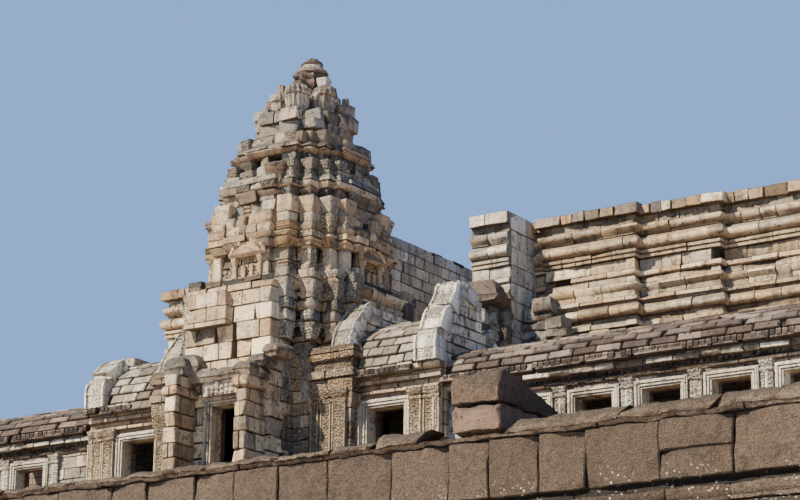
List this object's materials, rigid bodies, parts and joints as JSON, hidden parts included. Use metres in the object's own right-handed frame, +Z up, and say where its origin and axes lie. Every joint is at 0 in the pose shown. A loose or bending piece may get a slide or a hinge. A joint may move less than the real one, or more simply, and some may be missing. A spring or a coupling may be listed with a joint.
{
  "type": "hindu temple",
  "caption": "Ruined hindu temple front: a moulded stone terrace carries an entrance tower with porch, roofed wings and windowed galleries, before a tall stepped terrace with its stair.",
  "frame": {"origin": "middle of the base's outline, on the ground", "axes": "+X along the galleries to the right as seen from the front, +Y from the porch towards the upper terrace, +Z up"},
  "size_m": [39.3, 27.1, 21],
  "materials": {
    "terrace_stone": "rough purple-brown sandstone",
    "roof_stone": "rough dark brown sandstone",
    "tan_sandstone": "rough tan sandstone with black lichen",
    "pale_sandstone": "pale dressed sandstone",
    "weathered_sandstone": "grey weathered sandstone"
  },
  "bodies": {
    "root": {"terrace_foot": "terrace_stone", "terrace_wall": "terrace_stone", "terrace_coping": "terrace_stone", "terrace_court": "terrace_stone", "loose_block": "terrace_stone", "gallery_plinth": "weathered_sandstone", "tower_body": "tan_sandstone", "tower_cornice": "tan_sandstone", "tower_storey_2": "tan_sandstone", "tower_storey_3": "weathered_sandstone", "tower_storey_4": "weathered_sandstone", "tower_storey_5": "weathered_sandstone", "lotus_crown": "weathered_sandstone", "crown_finial": "weathered_sandstone", "front_projection": "pale_sandstone", "back_projection": "pale_sandstone", "porch_wall_left": "pale_sandstone", "porch_wall_right": "pale_sandstone", "porch_lintel": "tan_sandstone", "front_door_frame": "pale_sandstone", "wing_right_unit": "tan_sandstone", "wing_right_upper_gable": "pale_sandstone", "wing_right_front_wall": "tan_sandstone", "wing_right_back_wall": "tan_sandstone", "wing_right_door_frame": "pale_sandstone", "wing_right_roof": "weathered_sandstone", "wing_right_end_gable": "pale_sandstone", "gallery_right_front_wall": "tan_sandstone", "gallery_right_back_wall": "tan_sandstone", "gallery_right_roof": "roof_stone", "wing_left_unit": "tan_sandstone", "wing_left_upper_gable": "pale_sandstone", "wing_left_front_wall": "tan_sandstone", "wing_left_back_wall": "tan_sandstone", "wing_left_door_frame": "pale_sandstone", "wing_left_roof": "weathered_sandstone", "wing_left_end_gable": "pale_sandstone", "gallery_left_front_wall": "tan_sandstone", "gallery_left_back_wall": "tan_sandstone", "gallery_left_roof": "roof_stone", "upper_terrace_lower_tier": "tan_sandstone", "upper_terrace_upper_tier": "tan_sandstone", "axial_stair": "weathered_sandstone", "stair_flank_left_lower": "pale_sandstone", "stair_flank_left_upper": "pale_sandstone", "stair_flank_right_lower": "pale_sandstone", "stair_flank_right_upper": "pale_sandstone"}
  },
  "joints": []
}
